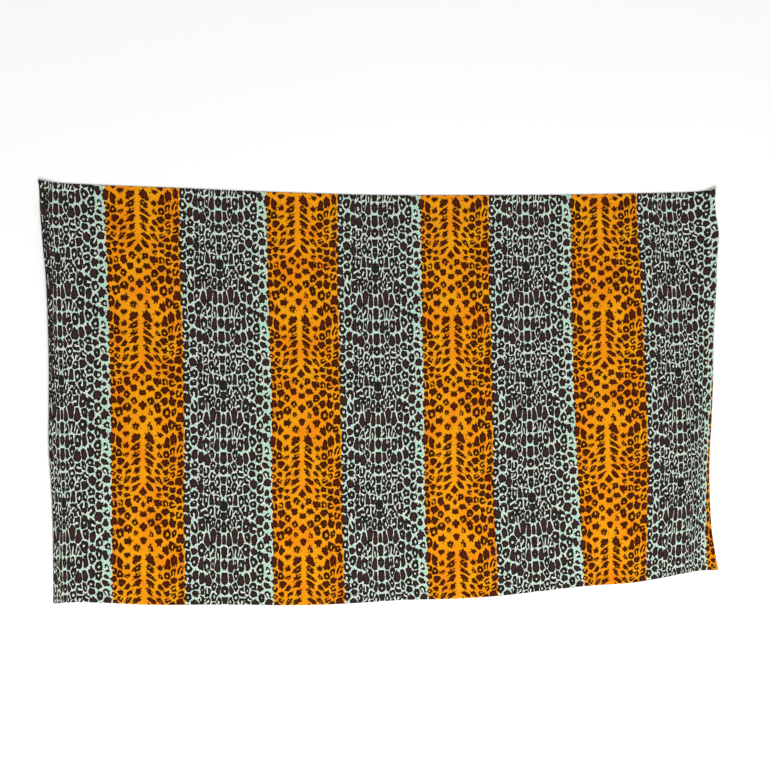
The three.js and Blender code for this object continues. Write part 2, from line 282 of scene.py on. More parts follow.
# Within this far of the spine, a band of chevrons has its columns and rows this much wider apart.
BAND_REACH, BAND_WIDER, BAND_TALLER = 0.066, 0.2, 0.3
# How much wider the cells are drawn than printed, by the distance from the spine.
CELL_STRETCH = [(0.0, 0.85), (0.06, 1.0), (0.10, 1.3), (0.125, 1.6), (0.2075, 1.7)]
CELL_REACH, NEIGHBOURS = 0.08, 34  # no cell reaches further, nor borders on more
MIDDLE = 6 * MM  # a spot this near the spine or the mint's axis is centred on it
MINT_FROM = 0.107  # from the spine to the mint, on the wider side
PRINT_SPARE = 0.05  # how far past the cloth the print is laid out
TINY = 0.1 * MM  # a side or a triangle narrower than this lies on an axis

# How spots are made, by how far from the spine they are. Each is drawn within the two bounds.
SPOT_MAKES = [
    # up to, share of its cell filled, less in a band, rings, hole's size, open rings, gap, fur, round
    (MIDDLE, (0.50, 0.72), 0.0, 0.0, (0.0, 0.0), 0.0, 0.0, 1.6, 0.9),
    (0.055, (0.56, 0.80), 0.08, 0.5, (0.06, 0.14), 0.0, 0.0, 1.9, 0.85),
    (MINT_FROM, (0.66, 0.86), 0.0, 0.4, (0.14, 0.26), 0.6, 0.14, 1.2, 0.8),
    (ROWS_FROM, (0.76, 0.92), 0.0, 0.62, (0.12, 0.23), 0.36, 0.12, 0.9, 1.0),
    (REPEAT_WIDE, (0.92, 1.06), 0.0, 0.62, (0.12, 0.23), 0.36, 0.12, 0.9, 1.0),
]
AXIS_HOLE = 0.5  # spots on the mint's axis have holes of this much of the drawn size
SEED_ANEW, GAP_ANEW = 0.41, 0.2  # added to the make of a mirrored spot, to draw it anew

spots = random.Random(41)
printed_at = np.linspace(0, HALF_WIDE, 400)
stretch = np.interp(printed_at, *zip(*CELL_STRETCH))
drawn_at = np.concatenate([[0], np.cumsum((stretch[1:] + stretch[:-1]) / 2 * np.diff(printed_at))])
DRAWN_WIDE = float(drawn_at[-1])


def looped(points):
    """Each point with the next one, and the last with the first."""
    return zip(points, points[1:] + points[:1])


def chevron(y):
    """1 at the middle of a band of chevrons, 0 halfway between two bands."""
    return 0.5 + 0.5 * math.cos(2 * math.pi * y / REPEAT_TALL)


def undraw(point):
    """From the even field in which spots are spaced to the printed half repeat."""
    a = float(np.interp(point[0], drawn_at, printed_at))
    near = 1 - smooth(a / BAND_REACH)
    wave = 2 * math.pi * point[1] / REPEAT_TALL
    a *= 1 + BAND_WIDER * near * math.cos(wave)
    drop = CHEVRON_SLOPE * float(np.interp(a, *zip(*ROW_DROP)))
    level = point[1] - BAND_TALLER * near * math.sin(wave) * REPEAT_TALL / (2 * math.pi)
    b = level
    for _ in range(30):  # by steps, because the drop depends on the height that it gives
        b = level - chevron(b) * drop
    return a, b


def cell_of(seed, others):
    """The ground that is one seed's share among all, as a convex outline."""
    corners = (-1, -1), (1, -1), (1, 1), (-1, 1)
    outline = [(seed[0] + i * CELL_REACH, seed[1] + j * CELL_REACH) for i, j in corners]
    for other in others:
        nx, ny = other[0] - seed[0], other[1] - seed[1]
        if nx * nx + ny * ny > (2 * CELL_REACH) ** 2:
            continue
        middle = (other[0] ** 2 - seed[0] ** 2 + other[1] ** 2 - seed[1] ** 2 + seed[2] - other[2]) / 2
        kept = []
        for (x0, y0), (x1, y1) in looped(outline):
            d0, d1 = nx * x0 + ny * y0 - middle, nx * x1 + ny * y1 - middle
            if d0 <= 0:
                kept.append((x0, y0))
            if (d0 < 0 < d1) or (d1 < 0 < d0):
                t = d0 / (d0 - d1)
                kept.append((x0 + (x1 - x0) * t, y0 + (y1 - y0) * t))
        outline = kept
    return outline


def all_cells(seeds):
    """The cell of each seed, among the seeds above, below and mirrored about both axes."""
    around = []
    for x, y, weight in seeds:
        for lift in (-REPEAT_TALL, 0, REPEAT_TALL):
            around += [(mirrored, y + lift, weight) for mirrored in (x, -x, 2 * DRAWN_WIDE - x)]
    outlines = []
    for seed in seeds:
        others = [other for other in around if other != seed]
        others.sort(key=lambda other: (other[0] - seed[0]) ** 2 + (other[1] - seed[1]) ** 2)
        outlines.append(cell_of(seed, others[:NEIGHBOURS]))
    return outlines


def moments(outline):
    """An outline's centre, its half length and half width, and the way that it points."""
    area = cx = cy = xx = yy = xy = 0.0
    for (x0, y0), (x1, y1) in looped(outline):
        w = x0 * y1 - x1 * y0
        area += w / 2
        cx += (x0 + x1) * w / 6
        cy += (y0 + y1) * w / 6
        xx += (x0 * x0 + x0 * x1 + x1 * x1) * w / 12
        yy += (y0 * y0 + y0 * y1 + y1 * y1) * w / 12
        xy += (x0 * y1 + 2 * x0 * y0 + 2 * x1 * y1 + x1 * y0) * w / 24
    cx, cy = cx / area, cy / area
    slant = xy / area - cx * cy
    spread = np.array([[xx / area - cx * cx, slant], [slant, yy / area - cy * cy]])
    size, way = np.linalg.eigh(spread)
    return (cx, cy), 2 * math.sqrt(size[1]), 2 * math.sqrt(size[0]), math.atan2(way[1, 1], way[0, 1])


def spot_seeds():
    """Where the spots of half a repeat are spaced, and the axis that each is centred on, if any."""
    seeds, axes = [], []
    for column, (x, count) in enumerate(SPOT_COLUMNS):
        phase = 0.5 * (column % 2) if column < CHEVRON_COLUMNS else spots.random()
        if x > ROWS_FROM:
            phase = ROW_PHASES[column % 3]
        axis = next((place for place in (0.0, HALF_WIDE) if abs(x - place) < MIDDLE), None)
        for row in range(count):
            y = (row + phase + spots.uniform(-ASTRAY, ASTRAY)) * (REPEAT_TALL / count)
            aside = spots.uniform(-ASIDE, ASIDE) * MM if axis is None else 0
            weight = spots.uniform(*WEIGHTS) * MM**2
            in_band = chevron(y) > IN_BAND
            if column == 0 and in_band:
                continue
            if column == 1 and in_band:
                aside -= spots.uniform(0, TIPS_IN) * MM
            seeds.append((float(np.interp(x + aside, printed_at, drawn_at)), y, weight))
            axes.append(axis)
    return seeds, axes


def spot_make(centre):
    """reach, hole, fur, round, seed, gap's way, gap's width: by where the spot is."""
    seed, gap_way = spots.random(), spots.random()
    make = next(row for row in SPOT_MAKES if centre[0] < row[0])
    _, filled, less_in_band, rings, holes, open_rings, gap_wide, fur, rounded = make
    hole = spots.uniform(*holes) if rings and spots.random() < rings else 0.0
    gap = gap_wide if hole and open_rings and spots.random() < open_rings else 0.0
    if centre[0] > HALF_WIDE - MIDDLE:
        hole, gap = AXIS_HOLE * hole, 0.0
    reach = spots.uniform(*filled) - less_in_band * chevron(centre[1])
    return reach, hole, fur, rounded, seed, gap_way, gap


def half_repeat():
    """Half a repeat's cells: outline, centre, half length, half width, way, and the spot's make."""
    seeds, axes = spot_seeds()
    cells = []
    for axis, outline in zip(axes, all_cells(seeds)):
        printed = [undraw(point) for point in outline]
        centre, half_long, half_short, way = moments(printed)
        if axis is not None:
            heights = [b for a, b in printed]
            half_wide, half_tall = 2 * abs(centre[0] - axis), (max(heights) - min(heights)) / 2
            centre = (axis, centre[1])
            half_long, half_short = max(half_wide, half_tall), min(half_wide, half_tall)
            way = math.pi / 2 if half_tall > half_wide else 0.0
        cells.append((printed, centre, half_long, half_short, way, spot_make(centre)))
    return cells


# What each corner of the print's mesh holds, under the maps that carry it to the shader: its
# place in the print; its place along and across its spot; how far out it is, from the spot's
# middle (0) to its cell's border (1); the spot's size and make; and how far off that border is.
MAPS = {
    "print": ["u", "v"],
    "spot": ["p", "q"],
    "spot_form": ["outward", "size", "reach", "hole"],
    "spot_make": ["fur", "rounded", "seed", "gap_way"],
    "spot_gap": ["gap", "to_border"],
}
CHANNELS = sum(len(names) for names in MAPS.values())
UV_MAPS = "print", "spot"  # the others are colour attributes


def border_distances(outline, centre):
    """At each corner of a cell, how far its middle is from the two sides that meet there."""
    sides = []
    for (x0, y0), (x1, y1) in looped(outline):
        twice_area = (x1 - x0) * (y0 - centre[1]) - (y1 - y0) * (x0 - centre[0])
        sides.append(abs(twice_area) / max(math.hypot(x1 - x0, y1 - y0), 1e-9))
    far = []
    for pair in zip(sides[-1:] + sides[:-1], sides):
        real = [side for side in pair if side > TINY]  # the print's axis is no border
        far.append(sum(real) / max(len(real), 1))
    return far


def cell_triangles(cell, u0, v0, side):
    """A cell at its place in the print, mirrored where side is -1, as triangles round its middle."""
    outline, centre, half_long, half_short, way, make = cell
    if side < 0 and 0 < centre[0] < HALF_WIDE:
        reach, hole, fur, rounded, seed, gap_way, gap = make
        make = (reach, hole, fur, rounded, (seed + SEED_ANEW) % 1, (gap_way + GAP_ANEW) % 1, gap)
    size = math.sqrt(half_long * half_short) / MM
    ring = []
    for (a, b), far in zip(outline, border_distances(outline, centre)):
        da, db = a - centre[0], b - centre[1]
        along = (da * math.cos(way) + db * math.sin(way)) / half_long
        aside = (db * math.cos(way) - da * math.sin(way)) / half_short
        ring.append((u0 + side * a, v0 + b, along, aside, 1.0, size, *make, far / MM))
    middle = (u0 + side * centre[0], v0 + centre[1], 0.0, 0.0, 0.0, size, *make, size)
    triangles = []
    for here, after in looped(ring):
        if abs(here[0] - middle[0]) + abs(after[0] - middle[0]) >= TINY:
            triangles.append((middle, here, after) if side > 0 else (middle, after, here))
    return triangles


def repeats(low, high, pitch):
    return range(math.floor(low / pitch) - 1, math.ceil(high / pitch) + 1)


def print_triangles():
    """The whole print as triangles, each running from a spot's middle to its cell's border."""
    columns = repeats(PRINT_LEFT, RIM_LOW, REPEAT_WIDE)
    rows = repeats(-CHEVRON_AT, CLOTH_TALL - CHEVRON_AT, REPEAT_TALL)
    cells = half_repeat()
    triangles = []
    for column, side, row in itertools.product(columns, (-1, 1), rows):
        u0, v0 = SPINE + column * REPEAT_WIDE, CHEVRON_AT + row * REPEAT_TALL
        for cell in cells:
            u, v = u0 + side * cell[1][0], v0 + cell[1][1]
            on_cloth = -PRINT_SPARE < v < CLOTH_TALL + PRINT_SPARE
            if on_cloth and PRINT_LEFT - PRINT_SPARE < u < RIM_LOW + PRINT_SPARE:
                triangles += cell_triangles(cell, u0, v0, side)
    return np.array(triangles)


ON_LINE = 2e-6  # a corner nearer to a line than this is on it
FROM_EACH = [[0, 1, 2], [1, 2, 0], [2, 0, 1]]  # a triangle's corners in turn, from each


def cut(triangles, distance):
    """Divides the triangles that a line crosses. distance gives the signed distance to it."""
    d = distance(triangles[..., 0], triangles[..., 1])
    d = np.where(np.abs(d) < ON_LINE, 0, d)
    crossed = (d.max(axis=1) > 0) & (d.min(axis=1) < 0)
    made = []
    for t, e in zip(triangles[crossed], d[crossed]):
        signs = np.sign(e)
        alone = signs == (-signs.sum() if signs.all() else 0)  # on the line, or else by itself
        turn = FROM_EACH[int(np.argmax(alone))]
        (a, b, c), (ea, eb, ec) = t[turn], e[turn]
        if ea == 0:
            m = b + (c - b) * (eb / (eb - ec))
            made += [(a, b, m), (a, m, c)]
        else:
            p, q = a + (b - a) * (ea / (ea - eb)), a + (c - a) * (ea / (ea - ec))
            made += [(a, p, q), (p, b, c), (p, c, q)]
    return np.concatenate([triangles[~crossed], np.array(made).reshape(-1, 3, CHANNELS)])


def trimmed(triangles, distance):
    """Cuts away the triangles beyond a line."""
    triangles = cut(triangles, distance)
    return triangles[distance(triangles[..., 0], triangles[..., 1]).mean(axis=1) > 0]


GRID = 1e6  # places are matched to a micrometre, so that cells share corners


def numbered(keys):
    """The unlike places among the corners, and each corner's number in them."""
    places, number = np.unique(keys.reshape(-1, 2), axis=0, return_inverse=True)
    return places, number.reshape(keys.shape[:2])


def quartered(ends, between):
    """Each triangle divided in four by the points halfway along its sides."""
    a, b, c = (ends[:, k] for k in range(3))
    ab, bc, ca = (between[:, k] for k in range(3))
    parts = [(a, ab, ca), (ab, b, bc), (ca, bc, c), (ab, bc, ca)]
    return np.concatenate([np.stack(part, axis=1) for part in parts])


def printed_faces(corners, bends):
    """Divides the triangles that bend: the places in the print, the faces, and what corners hold."""
    keys = 2 * np.round(corners[..., :2] * GRID).astype(np.int64)
    number = numbered(keys)[1]
    whole = (number != np.roll(number, -1, axis=1)).all(axis=1)
    corners, keys = corners[whole], keys[whole]
    middles = (corners + np.roll(corners, -1, axis=1)) / 2
    middle_keys = (keys + np.roll(keys, -1, axis=1)) // 2
    bent = bends(corners) if bends else np.zeros(len(corners), dtype=bool)
    fine = quartered(corners[bent], middles[bent])
    places, numbers = numbered(np.concatenate([quartered(keys[bent], middle_keys[bent]), keys[~bent]]))
    faces = numbers[:len(fine)].tolist()
    data = list(fine.reshape(-1, CHANNELS))

    # A flat triangle beside a divided one takes that one's halfway point into its side.
    number_at = {tuple(place): k for k, place in enumerate(places.tolist())}
    flat = zip(numbers[len(fine):].tolist(), corners[~bent], middles[~bent], middle_keys[~bent].tolist())
    for ends, end_data, between_data, between_keys in flat:
        face = []
        for k in range(3):
            face.append(ends[k])
            data.append(end_data[k])
            halfway = number_at.get(tuple(between_keys[k]))
            if halfway is not None:
                face.append(halfway)
                data.append(between_data[k])
        faces.append(face)
    return places, faces, np.array(data)


def backed(faces, first_back):
    """The back and the rim that close a face, and the face's corner that each of theirs copies."""
    sides, back, rim, order = {}, [], [], []
    first = 0
    for face in faces:
        count = len(face)
        for k in range(count):
            after = (k + 1) % count
            sides[face[k], face[after]] = first + k, first + after
        back.append([first_back + k for k in reversed(face)])
        order += reversed(range(first, first + count))
        first += count
    for (a, b), (start, end) in sides.items():
        if (b, a) not in sides:
            rim.append([b, a, first_back + a, first_back + b])
            order += [end, start, start, end]
    return back, rim, order


def new_object(name, data):
    made = bpy.data.objects.new(name, data)
    bpy.context.collection.objects.link(made)
    return made


def cloth_piece(name, corners, face_place, back_place, bends=None):
    """A thin closed shell of printed cloth, its triangles divided in four where it bends."""
    places, faces, data = printed_faces(corners, bends)
    back, rim, order = backed(faces, len(places))
    data = np.concatenate([data, data[order]]).astype(np.float32)
    u, v = (places / (2 * GRID)).T
    mesh = bpy.data.meshes.new(name)
    mesh.from_pydata(np.concatenate([face_place(u, v), back_place(u, v)]).tolist(), [], faces + back + rim)
    first = 0
    for label, names in MAPS.items():
        values = data[:, first:first + len(names)]
        first += len(names)
        if label in UV_MAPS:
            mesh.uv_layers.new(name=label).data.foreach_set("uv", values.ravel())
        else:
            colours = np.pad(values, ((0, 0), (0, 4 - len(names))), mode="edge")
            attribute = mesh.color_attributes.new(label, "FLOAT_COLOR", "CORNER")
            attribute.data.foreach_set("color", colours.ravel())
    mesh.shade_smooth()
    mesh.materials.append(printed_face)
    mesh.materials.append(printed_back)
    material = np.zeros(len(mesh.polygons), dtype=np.int32)
    material[len(faces):2 * len(faces)] = 1
    mesh.polygons.foreach_set("material_index", material)
    return new_object(name, mesh)


# ------------------------------
# The panel: its dye and its weave.
# Pigment printed on one side of a plain-woven cotton: orange and mint grounds, and spots
# that are near-black at the rim and maroon within. The print shows through pale behind.

def srgb(red, green, blue):
    """A colour given as it is seen, for a shader."""
    parts = [value / 255 for value in (red, green, blue)]
    return tuple(c / 12.92 if c <= 0.04045 else ((c + 0.055) / 1.055) ** 2.4 for c in parts) + (1.0,)


ORANGE, ORANGE_DEEP = srgb(231, 152, 14), srgb(230, 131, 12)
MINT, PALE = srgb(155, 209, 183), srgb(234, 231, 221)  # PALE is a halo round each spot
RIM_BLACK, MAROON = srgb(25, 29, 23), srgb(58, 36, 36)  # a spot's rim and heart on the mint
ORANGE_INK, BROWN = srgb(53, 21, 2), srgb(77, 27, 8)  # and printed over the orange
SELVEDGE = srgb(240, 238, 230)
BARE_COTTON = srgb(214, 206, 188)  # the cloth's own colour, seen on the wrong side

# Unevenness of the dye. Two kinds run across the spots, at a scale for a metre of print, and
# two are each spot's own: lobes, and streaks of the brush along and across it.
UNEVEN_SCALE, SPECK_SCALE = 34.0, 230.0
LOBE_SCALE, LOBE_SEEDS = 1.6, 37.0
STREAK_SCALES = 2.6, 4.6, 91.0  # the last is from one seed to another, as LOBE_SEEDS is
# How far each moves the edge of a spot and of its hole, as a share of the spot's size,
OUTLINE_LOBES, OUTLINE_STREAKS, OUTLINE_UNEVEN = 1.0, 0.45, -0.2
HOLE_LOBES, HOLE_STREAKS = -0.5, 0.5
# and the line between spots, the fur of a spot, the spine and a spot's heart, in millimetres.
LINE_LOBES, LINE_UNEVEN = -9.0, 4.0
FUR_SPECKS, SPINE_SPECKS, HEART_SPECKS = 3.0, 8.0, 9.0

OVAL = 1.05, 0.88  # a spot's reach is measured in an oval: along it, across it
HALF_LINE = 0.85  # half the line of ground between two spots, in millimetres
# One dark clump in each repeat, left of the mint's axis, where the spots run together.
CLUMP_U, CLUMP_V = SPINE + HALF_WIDE - 0.044, CHEVRON_AT + REPEAT_TALL / 2
CLUMP_HALF_WIDE, CLUMP_HALF_TALL, CLUMP_SLANT = 0.017, 0.068, 0.2
CLUMP_FILL = 1.8  # how much further the spots reach there, in millimetres
# Along the upper left edge spots reach further and hide most of the ground between them: painted shade on
# the roll there, standing in also for small pleats that are not built.
PLEAT_SHADE_END = PRINT_LEFT + 22 * MM, PRINT_LEFT + 52 * MM  # they die away between these,
PLEAT_SHADE_UP = 0.40, 0.66  # and come in between these, going up,
PLEAT_SHADE_FILL = 1.7  # where spots seem to reach this much further, in millimetres
SPINE_CLEAR, SPINE_SHUT = 5.5, 20.0  # half the clear spine in a band, and how shut it is elsewhere
SPINE_ENDS = -0.1, 0.3  # of the cosine that follows the bands, where the clear spine ends
HOLE_SHIFT = 0.3  # how far from the spot's middle a hole may be, in all
NO_HOLE, FAR_OFF = 0.02, 5.0  # a hole or gap under the one is moved off by the other
EDGE_SOFT = 0.5  # these are in millimetres: the edge of the ink,
HEART_AT = 2.2, 7.4  # where a spot's heart begins and is full,
HALO_AT = 0.7, 2.0  # and where the pale halo ends round it
ORANGE_WIDE = 0.188
SIDE_HEM_DEPTH, SELVEDGE_WIDE = 16 * MM, 5 * MM  # the left hem ends in a selvedge without dye
SELVEDGE_AT = PRINT_LEFT - SIDE_HEM_DEPTH + SELVEDGE_WIDE
GROUND_SOFT, SELVEDGE_SOFT = 0.6 * MM, 0.3 * MM  # half the width of the change at each line
CLOUD_SCALE, CLOUDS = 14.0, (0.35, 0.7)  # clouds of the deeper orange


def add(tree, kind, *values, **settings):
    """A node with its settings made and its inputs set or linked in order; None leaves one out."""
    node = tree.nodes.new(kind)
    for name, value in settings.items():
        setattr(node, name, value)
    inputs = [socket for socket in node.inputs if socket.enabled]
    for socket, value in zip(inputs, values):
        if isinstance(value, bpy.types.NodeSocket):
            tree.links.new(value, socket)
        elif value is not None:
            socket.default_value = value
    return node


def then(kind, *values, **settings):
    """What comes out of a node that is added to the tree of the values linked to it."""
    tree = next(value.id_data for value in values if isinstance(value, bpy.types.NodeSocket))
    return [socket for socket in add(tree, kind, *values, **settings).outputs if socket.enabled]


def calc(operation, *values):
    return then("ShaderNodeMath", *values, operation=operation)[0]


plus, minus, times, times_plus, over, least = (
    partial(calc, name) for name in ("ADD", "SUBTRACT", "MULTIPLY", "MULTIPLY_ADD", "DIVIDE", "MINIMUM")
)


def mix(factor, a, b):
    return then("ShaderNodeMix", factor, a, b, data_type="RGBA")[0]


def ramp(value, low, high):
    """0 below low, 1 above high, eased between."""
    return then("ShaderNodeMapRange", value, low, high, interpolation_type="SMOOTHSTEP")[0]


def noise(place, scale, detail=1.0):
    return then("ShaderNodeTexNoise", place, scale, detail)[0]


def vector(x, y, z=0.0):
    return then("ShaderNodeCombineXYZ", x, y, z)[0]


def length(x, y):
    return then("ShaderNodeVectorMath", vector(x, y), operation="LENGTH")[0]


def new_group(name, inputs, outputs, kind="ShaderNodeTree"):
    """An empty node group and the sockets of its two ends, given as labels and kinds of value."""
    tree = bpy.data.node_groups.new(name, kind)
    for way, sockets in (("INPUT", inputs), ("OUTPUT", outputs)):
        for label, value in sockets.items():
            tree.interface.new_socket(label, in_out=way, socket_type="NodeSocket" + value)
    return tree, tree.nodes.new("NodeGroupInput").outputs, tree.nodes.new("NodeGroupOutput").inputs


def held(tree):
    """What the mesh's corners hold, as it reads between them."""
    at = SimpleNamespace()
    for label, names in MAPS.items():
        if label in UV_MAPS:
            values = then("ShaderNodeSeparateXYZ", add(tree, "ShaderNodeUVMap", uv_map=label).outputs[0])
        else:
            whole = add(tree, "ShaderNodeAttribute", attribute_name=label).outputs
            values = [*then("ShaderNodeSeparateColor", whole["Color"]), whole["Alpha"]]
        vars(at).update(zip(names, values))
    at.gap_way = times(at.gap_way, 2 * math.pi)
    return at


def make_uneven(at):
    """The four kinds of unevenness. Those across the spots are mirrored and repeated as the print is."""
    at.beside_spine = calc("PINGPONG", minus(at.u, SPINE), HALF_WIDE)
    at.turn = times(minus(at.v, CHEVRON_AT), 2 * math.pi / REPEAT_TALL)

    def across(scale):
        around = scale * REPEAT_TALL / (2 * math.pi)
        x, y = (times(calc(name, at.turn), around) for name in ("COSINE", "SINE"))
        return minus(noise(vector(times(at.beside_spine, scale), x, y), 1.0), 0.5)

    at.uneven, at.specks = across(UNEVEN_SCALE), times(across(SPECK_SCALE), at.fur)
    at.lobes = minus(noise(vector(at.p, at.q, times(at.seed, LOBE_SEEDS)), LOBE_SCALE), 0.5)
    brush = [times(value, scale) for value, scale in zip((at.p, at.q, at.seed), STREAK_SCALES)]
    at.streaks = times(minus(noise(vector(*brush), 1.0, detail=2.0), 0.5), at.fur)


def within_outline(at):
    """How far inside its spot's outline a place is, in millimetres. Few spots touch."""
    oval = length(times(at.p, OVAL[0]), times(at.q, OVAL[1]))
    away = times_plus(minus(oval, at.outward), at.rounded, at.outward)
    away = times_plus(at.lobes, OUTLINE_LOBES, away)
    away = times_plus(at.streaks, OUTLINE_STREAKS, away)
    away = times_plus(at.uneven, OUTLINE_UNEVEN, away)
    clear = minus(times(minus(1.0, at.outward), at.to_border), HALF_LINE)
    clear = times_plus(at.lobes, LINE_LOBES, clear)
    clear = times_plus(at.uneven, LINE_UNEVEN, clear)
    return least(times(minus(at.reach, away), at.size), clear)


def crowding_and_painted_shade(at):
    """How much further spots reach in the clump, and along the upper left edge, where they paint the shade
    on the roll and stand in for small pleats that are not built."""
    up = calc("WRAP", minus(at.v, CLUMP_V), REPEAT_TALL / 2, -REPEAT_TALL / 2)
    aside = calc("WRAP", minus(at.u, CLUMP_U), HALF_WIDE, -HALF_WIDE)
    aside = over(times_plus(up, CLUMP_SLANT, aside), CLUMP_HALF_WIDE)
    clump = minus(1.0, ramp(length(aside, over(up, CLUMP_HALF_TALL)), 0.0, 1.0))
    # Painted shade: near the upper left edge spots reach further, darkening the ground as the roll's shade
    # and unbuilt pleats would.
    painted_pleat_shade = times(minus(1.0, ramp(at.u, *PLEAT_SHADE_END)), ramp(at.v, *PLEAT_SHADE_UP))
    return times_plus(clump, CLUMP_FILL, times(painted_pleat_shade, PLEAT_SHADE_FILL))


def beside_clear_spine(at):
    """How far from the spine's clear ground a place is, in millimetres."""
    band = ramp(calc("COSINE", at.turn), *SPINE_ENDS)
    far = times_plus(at.specks, SPINE_SPECKS, over(at.beside_spine, MM))
    return plus(far, times_plus(band, -SPINE_CLEAR - SPINE_SHUT, SPINE_SHUT))


def outside_hole(at):
    """How far from its spot's hole, and from the gap of an open ring, a place is, in millimetres."""
    shift = times_plus(at.seed, HOLE_SHIFT, -HOLE_SHIFT / 2)
    far = times_plus(at.lobes, HOLE_LOBES, length(plus(at.p, shift), minus(at.q, shift)))
    past_hole = minus(times_plus(at.streaks, HOLE_STREAKS, far), at.hole)
    sine, cosine = calc("SINE", at.gap_way), calc("COSINE", at.gap_way)
    beside = calc("ABSOLUTE", minus(times(at.p, sine), times(at.q, cosine)))
    behind = times(plus(times(at.p, cosine), times(at.q, sine)), -1.0)
    past_gap = calc("MAXIMUM", minus(beside, at.gap), behind)
    past_hole, past_gap = (
        plus(past, times(calc("LESS_THAN", wide, NO_HOLE), FAR_OFF))
        for past, wide in ((past_hole, at.hole), (past_gap, at.gap))
    )
    return times(least(past_hole, past_gap), at.size)


def print_group():
    """The printed colour, from the mesh's own maps of the print and its spots."""
    tree, _, out = new_group("animal print", {}, {"Color": "Color"})
    at = held(tree)
    make_uneven(at)
    inside = times_plus(at.specks, FUR_SPECKS, plus(within_outline(at), crowding_and_painted_shade(at)))
    deep = least(least(inside, beside_clear_spine(at)), outside_hole(at))  # in millimetres

    across = calc("PINGPONG", minus(at.u, ORANGE_WIDE / 2), HALF_WIDE)
    in_mint = ramp(across, ORANGE_WIDE / 2 - GROUND_SOFT, ORANGE_WIDE / 2 + GROUND_SOFT)
    clouds = ramp(noise(vector(at.u, at.v), CLOUD_SCALE, detail=2.0), *CLOUDS)
    halo = ramp(times(deep, -1.0), *HALO_AT)
    ground = mix(in_mint, mix(clouds, ORANGE, ORANGE_DEEP), mix(halo, PALE, MINT))
    heart = ramp(times_plus(at.specks, HEART_SPECKS, deep), *HEART_AT)
    ink = mix(heart, mix(in_mint, ORANGE_INK, RIM_BLACK), mix(in_mint, BROWN, MAROON))
    dyed = mix(ramp(deep, -EDGE_SOFT, EDGE_SOFT), ground, ink)
    undyed = ramp(times(at.u, -1.0), -SELVEDGE_AT - SELVEDGE_SOFT, -SELVEDGE_AT + SELVEDGE_SOFT)
    tree.links.new(mix(undyed, dyed, SELVEDGE), out["Color"])
    return tree


THREAD, WEAVE, CRUMPLE = 0.5 * MM, 0.03, 1.0  # from thread to thread, and how much of each
CRUMPLING = [(11.0, 3.0), (46.0, 0.55)]  # broad and close: scale, height in millimetres
WEAVE_STRENGTH = 0.7


def weave_group():
    """Plain weave and faint crumpling, as a height in millimetres."""
    inputs = {"Thread": "Float", "Weave": "Float", "Crumple": "Float"}
    tree, given, out = new_group("cotton weave", inputs, {"Height": "Float"})
    thread, weave, crumple = given[:3]
    place = add(tree, "ShaderNodeUVMap", uv_map="print").outputs[0]
    u, v, _ = then("ShaderNodeSeparateXYZ", place)
    threads = (calc("SINE", over(times(w, math.pi), thread)) for w in (u, v))
    crumples = (times(noise(place, scale, detail=2.0), height) for scale, height in CRUMPLING)
    height = plus(times(times(*threads), weave), times(plus(*crumples), crumple))
    tree.links.new(height, out["Height"])
    return tree


def new_material(name, roughness, specular=0.5):
    """A material, its tree, and the inputs of its shader."""
    material = bpy.data.materials.new(name)
    material.use_nodes = True
    shader = material.node_tree.nodes["Principled BSDF"].inputs
    shader["Roughness"].default_value = roughness
    shader["Specular IOR Level"].default_value = specular
    return material, material.node_tree, shader


def relief(tree, shader, height, distance, strength=1.0):
    """Shows a height as relief; distance is how tall a height of 1 is."""
    bump = add(tree, "ShaderNodeBump", strength, distance)
    tree.links.new(height, bump.inputs["Height"])
    tree.links.new(bump.outputs["Normal"], shader["Normal"])


ANIMAL_PRINT, COTTON_WEAVE = print_group(), weave_group()


def cotton(name, bare, roughness):
    """Printed cotton; bare is how much the cloth's own colour hides the print."""
    material, tree, shader = new_material(name, roughness, specular=0.05)
    colour = add(tree, "ShaderNodeGroup", node_tree=ANIMAL_PRINT).outputs["Color"]
    if bare:
        colour = mix(bare, colour, BARE_COTTON)
    tree.links.new(colour, shader["Base Color"])
    woven = add(tree, "ShaderNodeGroup", THREAD, WEAVE, CRUMPLE, node_tree=COTTON_WEAVE)
    relief(tree, shader, woven.outputs["Height"], MM, WEAVE_STRENGTH)
    return material


printed_face = cotton("printed cotton", bare=0.0, roughness=0.82)
printed_back = cotton("printed cotton, wrong side", bare=0.58, roughness=0.9)

# ------------------------------
# The panel: put together.
# The print is cut off at the cloth's four edges, laid out as the cloth lies, and closed
# with the wrong side.

whole_print = print_triangles()
# How far inside each edge the print is cut along a line, so that its triangles follow the rolls
# and the lips, in millimetres.
LEFT_CUTS = [5, 10, 16, 23]
RIGHT_CUTS = [4, 8, 13, 19, 27]
LIP_CUTS = [0, 13, 26]
# Triangles are divided this near to an edge, or where they are lifted off the floor by more.
BENDS_NEAR, BENDS_HIGH = 28 * MM, 0.5 * MM
BACK_CLEAR = 0.02 * MM  # the cloth's back stays this far off the floor
# How far inside each edge a point of the print is, measured along u or v.
EDGES = past_left, past_right, past_low, past_high = (
    lambda u, v: u - PRINT_LEFT,
    lambda u, v: print_rim(v / CLOTH_TALL) - u,
    lambda u, v: v + NOSE,
    lambda u, v: CLOTH_TALL + NOSE - v,
)

panel_print = whole_print
for past in EDGES:
    panel_print = trimmed(panel_print, past)
for past, inward_lines in ((past_left, LEFT_CUTS), (past_right, RIGHT_CUTS)):
    for inward in inward_lines:
        panel_print = cut(panel_print, lambda u, v: past(u, v) - inward * MM)
for inward, past in itertools.product(LIP_CUTS, (past_low, past_high)):
    panel_print = cut(panel_print, lambda u, v: past(u, v) - NOSE - inward * MM)


def panel_back(u, v):
    points = lie(u, v) - SHEET * face_normal(u, v)
    points[:, 2] = np.maximum(points[:, 2], BACK_CLEAR)
    return points


